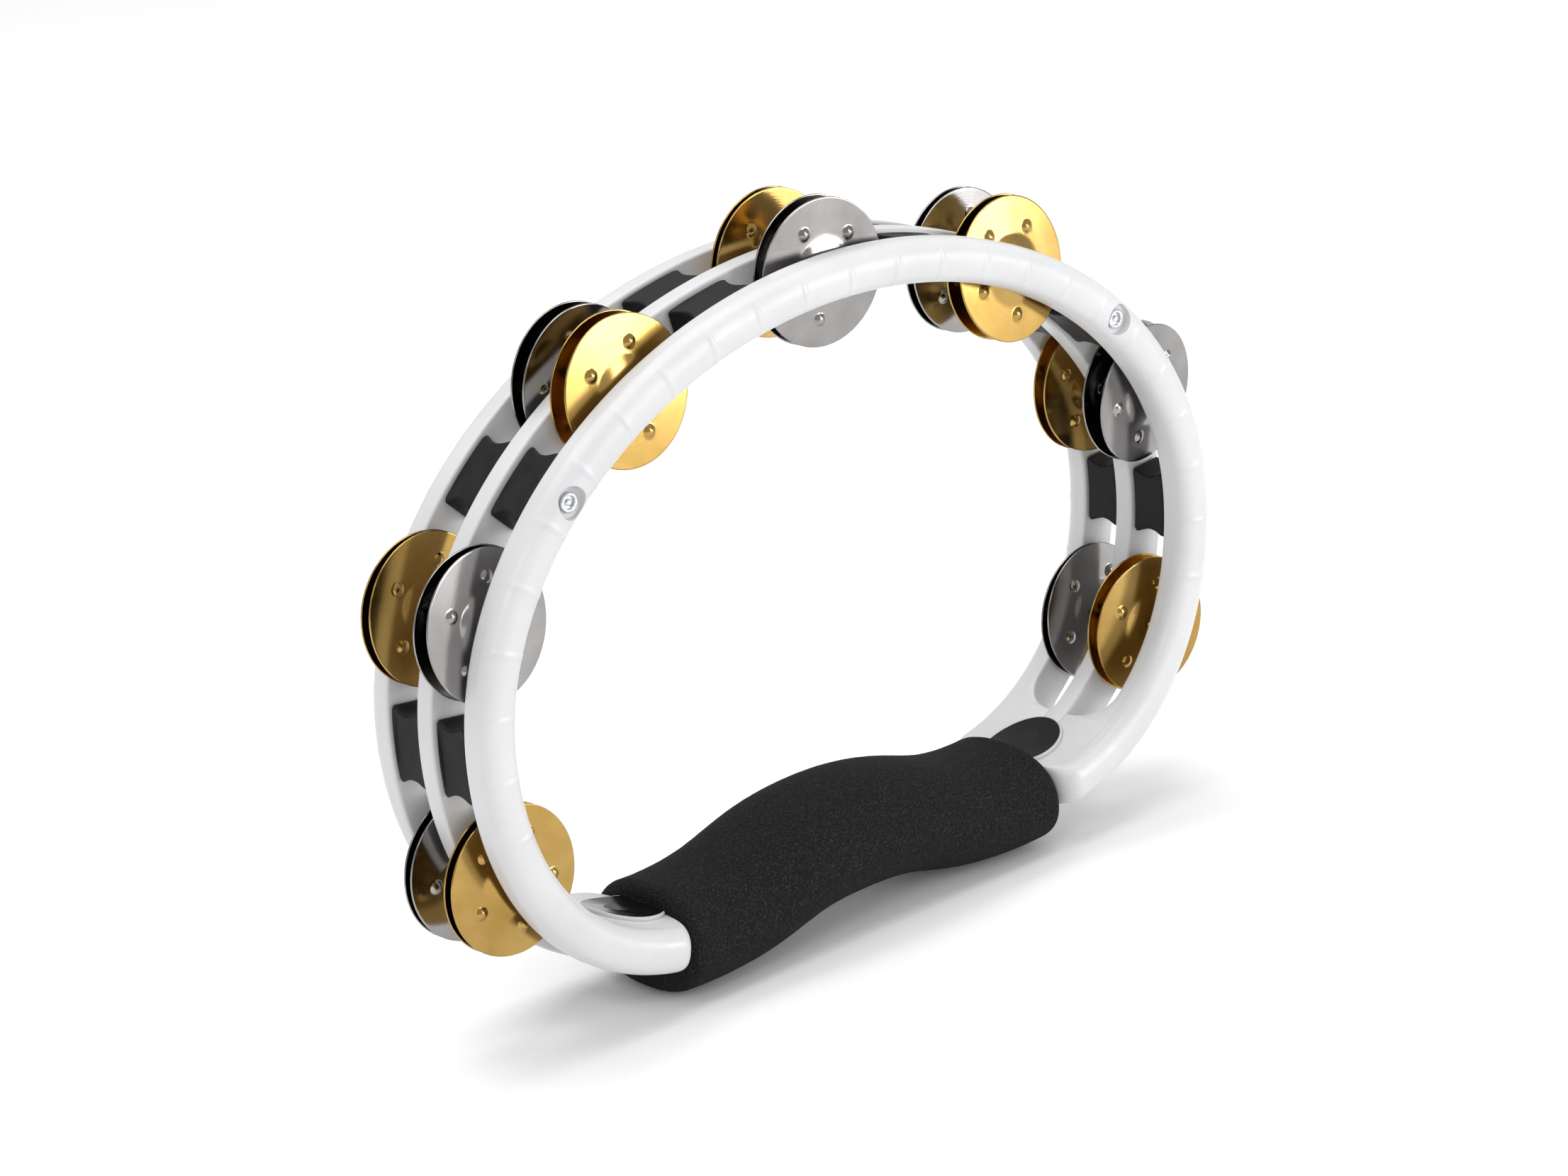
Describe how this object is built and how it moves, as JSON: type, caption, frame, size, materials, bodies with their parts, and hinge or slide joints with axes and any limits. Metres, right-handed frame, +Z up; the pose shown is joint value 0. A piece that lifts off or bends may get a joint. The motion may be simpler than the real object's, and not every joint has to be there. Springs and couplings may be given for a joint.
{
  "type": "tambourine",
  "caption": "Handheld D-shaped tambourine: white plastic frame of two slotted rows, loose brass and steel jingle pairs on pins, black spacers and a foam grip.",
  "frame": {"origin": "under the middle of the foam grip, on the surface the grip stands on", "axes": "+X to the right across the frame, +Y along the jingle pins towards the back, +Z up"},
  "size_m": [0.2676, 0.046, 0.1927],
  "materials": {
    "white_plastic": "moulded white, satin gloss",
    "black_plastic": "moulded black, matt",
    "gloss_badge": "glossy black, plain",
    "foam_grip": "closed-cell foam, fine grain, matt",
    "brass_jingle": "polished brass",
    "steel_jingle": "polished nickel-plated steel",
    "steel_hardware": "bright plated steel"
  },
  "bodies": {
    "root": {"frame_middle": "white_plastic", "frame_front": "white_plastic", "frame_back": "white_plastic", "pin_1": "steel_hardware", "pin_2": "steel_hardware", "pin_3": "steel_hardware", "pin_4": "steel_hardware", "pin_5": "steel_hardware", "pin_6": "steel_hardware", "pin_7": "steel_hardware", "spacer_front_left_1": "black_plastic", "spacer_front_left_2": "black_plastic", "spacer_front_left_3": "black_plastic", "spacer_front_right_1": "black_plastic", "spacer_front_right_2": "black_plastic", "spacer_front_right_3": "black_plastic", "spacer_back_left_1": "black_plastic", "spacer_back_left_2": "black_plastic", "spacer_back_left_3": "black_plastic", "spacer_back_right_1": "black_plastic", "spacer_back_right_2": "black_plastic", "spacer_back_right_3": "black_plastic", "screw_left": "steel_hardware", "screw_right": "steel_hardware", "badge_left": "gloss_badge", "badge_right": "gloss_badge", "grip": "foam_grip"},
    "jingle_front_1_fore": {"jingle_front_1_fore": "brass_jingle"},
    "jingle_front_1_aft": {"jingle_front_1_aft": "brass_jingle"},
    "jingle_back_1_fore": {"jingle_back_1_fore": "steel_jingle"},
    "jingle_back_1_aft": {"jingle_back_1_aft": "steel_jingle"},
    "jingle_front_2_fore": {"jingle_front_2_fore": "steel_jingle"},
    "jingle_front_2_aft": {"jingle_front_2_aft": "steel_jingle"},
    "jingle_back_2_fore": {"jingle_back_2_fore": "brass_jingle"},
    "jingle_back_2_aft": {"jingle_back_2_aft": "brass_jingle"},
    "jingle_front_3_fore": {"jingle_front_3_fore": "brass_jingle"},
    "jingle_front_3_aft": {"jingle_front_3_aft": "brass_jingle"},
    "jingle_back_3_fore": {"jingle_back_3_fore": "steel_jingle"},
    "jingle_back_3_aft": {"jingle_back_3_aft": "steel_jingle"},
    "jingle_front_4_fore": {"jingle_front_4_fore": "steel_jingle"},
    "jingle_front_4_aft": {"jingle_front_4_aft": "steel_jingle"},
    "jingle_back_4_fore": {"jingle_back_4_fore": "brass_jingle"},
    "jingle_back_4_aft": {"jingle_back_4_aft": "brass_jingle"},
    "jingle_front_5_fore": {"jingle_front_5_fore": "brass_jingle"},
    "jingle_front_5_aft": {"jingle_front_5_aft": "brass_jingle"},
    "jingle_back_5_fore": {"jingle_back_5_fore": "steel_jingle"},
    "jingle_back_5_aft": {"jingle_back_5_aft": "steel_jingle"},
    "jingle_front_6_fore": {"jingle_front_6_fore": "steel_jingle"},
    "jingle_front_6_aft": {"jingle_front_6_aft": "steel_jingle"},
    "jingle_back_6_fore": {"jingle_back_6_fore": "brass_jingle"},
    "jingle_back_6_aft": {"jingle_back_6_aft": "brass_jingle"},
    "jingle_front_7_fore": {"jingle_front_7_fore": "brass_jingle"},
    "jingle_front_7_aft": {"jingle_front_7_aft": "brass_jingle"},
    "jingle_back_7_fore": {"jingle_back_7_fore": "steel_jingle"},
    "jingle_back_7_aft": {"jingle_back_7_aft": "steel_jingle"}
  },
  "joints": [
    {"name": "front_1_clash", "type": "slide", "parent": "root", "child": "jingle_front_1_fore", "axis": [0, 1, 0], "range_m": [-0.0021, 0.0017]},
    {"name": "front_1_spin", "type": "hinge", "parent": "root", "child": "jingle_front_1_aft", "pos_m": [-0.11309, 0, 0.04821], "axis": [0, 1, 0], "continuous": true},
    {"name": "back_1_clash", "type": "slide", "parent": "root", "child": "jingle_back_1_fore", "axis": [0, 1, 0], "range_m": [-0.0001, 0.0016]},
    {"name": "back_1_spin", "type": "hinge", "parent": "root", "child": "jingle_back_1_aft", "pos_m": [-0.11309, 0, 0.04821], "axis": [0, 1, 0], "continuous": true},
    {"name": "front_2_clash", "type": "slide", "parent": "root", "child": "jingle_front_2_fore", "axis": [0, 1, 0], "range_m": [-0.0001, 0.0014]},
    {"name": "front_2_spin", "type": "hinge", "parent": "root", "child": "jingle_front_2_aft", "pos_m": [-0.11478, 0, 0.11382], "axis": [0, 1, 0], "continuous": true},
    {"name": "back_2_clash", "type": "slide", "parent": "root", "child": "jingle_back_2_fore", "axis": [0, 1, 0], "range_m": [-0.0047, 0.0002]},
    {"name": "back_2_spin", "type": "hinge", "parent": "root", "child": "jingle_back_2_aft", "pos_m": [-0.11478, 0, 0.11382], "axis": [0, 1, 0], "continuous": true},
    {"name": "front_3_clash", "type": "slide", "parent": "root", "child": "jingle_front_3_fore", "axis": [0, 1, 0], "range_m": [0, 0.003]},
    {"name": "front_3_spin", "type": "hinge", "parent": "root", "child": "jingle_front_3_aft", "pos_m": [-0.06597, 0, 0.15938], "axis": [0, 1, 0], "continuous": true},
    {"name": "back_3_clash", "type": "slide", "parent": "root", "child": "jingle_back_3_fore", "axis": [0, 1, 0], "range_m": [-0.0002, 0.0011]},
    {"name": "back_3_spin", "type": "hinge", "parent": "root", "child": "jingle_back_3_aft", "pos_m": [-0.06597, 0, 0.15938], "axis": [0, 1, 0], "continuous": true},
    {"name": "front_4_clash", "type": "slide", "parent": "root", "child": "jingle_front_4_fore", "axis": [0, 1, 0], "range_m": [0, 0.002]},
    {"name": "front_4_spin", "type": "hinge", "parent": "root", "child": "jingle_front_4_aft", "pos_m": [0, 0, 0.1737], "axis": [0, 1, 0], "continuous": true},
    {"name": "back_4_clash", "type": "slide", "parent": "root", "child": "jingle_back_4_fore", "axis": [0, 1, 0], "range_m": [-0.0007, 0.0011]},
    {"name": "back_4_spin", "type": "hinge", "parent": "root", "child": "jingle_back_4_aft", "pos_m": [0, 0, 0.1737], "axis": [0, 1, 0], "continuous": true},
    {"name": "front_5_clash", "type": "slide", "parent": "root", "child": "jingle_front_5_fore", "axis": [0, 1, 0], "range_m": [0, 0.0011]},
    {"name": "front_5_spin", "type": "hinge", "parent": "root", "child": "jingle_front_5_aft", "pos_m": [0.06597, 0, 0.15938], "axis": [0, 1, 0], "continuous": true},
    {"name": "back_5_clash", "type": "slide", "parent": "root", "child": "jingle_back_5_fore", "axis": [0, 1, 0], "range_m": [-0.0002, 0.001]},
    {"name": "back_5_spin", "type": "hinge", "parent": "root", "child": "jingle_back_5_aft", "pos_m": [0.06597, 0, 0.15938], "axis": [0, 1, 0], "continuous": true},
    {"name": "front_6_clash", "type": "slide", "parent": "root", "child": "jingle_front_6_fore", "axis": [0, 1, 0], "range_m": [-0.0004, 0.0015]},
    {"name": "front_6_spin", "type": "hinge", "parent": "root", "child": "jingle_front_6_aft", "pos_m": [0.11478, 0, 0.11382], "axis": [0, 1, 0], "continuous": true},
    {"name": "back_6_clash", "type": "slide", "parent": "root", "child": "jingle_back_6_fore", "axis": [0, 1, 0], "range_m": [-0.0022, 0.0026]},
    {"name": "back_6_spin", "type": "hinge", "parent": "root", "child": "jingle_back_6_aft", "pos_m": [0.11478, 0, 0.11382], "axis": [0, 1, 0], "continuous": true},
    {"name": "front_7_clash", "type": "slide", "parent": "root", "child": "jingle_front_7_fore", "axis": [0, 1, 0], "range_m": [-0.0018, 0.0021]},
    {"name": "front_7_spin", "type": "hinge", "parent": "root", "child": "jingle_front_7_aft", "pos_m": [0.11309, 0, 0.04821], "axis": [0, 1, 0], "continuous": true},
    {"name": "back_7_clash", "type": "slide", "parent": "root", "child": "jingle_back_7_fore", "axis": [0, 1, 0], "range_m": [-0.0047, 0.0001]},
    {"name": "back_7_spin", "type": "hinge", "parent": "root", "child": "jingle_back_7_aft", "pos_m": [0.11309, 0, 0.04821], "axis": [0, 1, 0], "continuous": true}
  ]
}
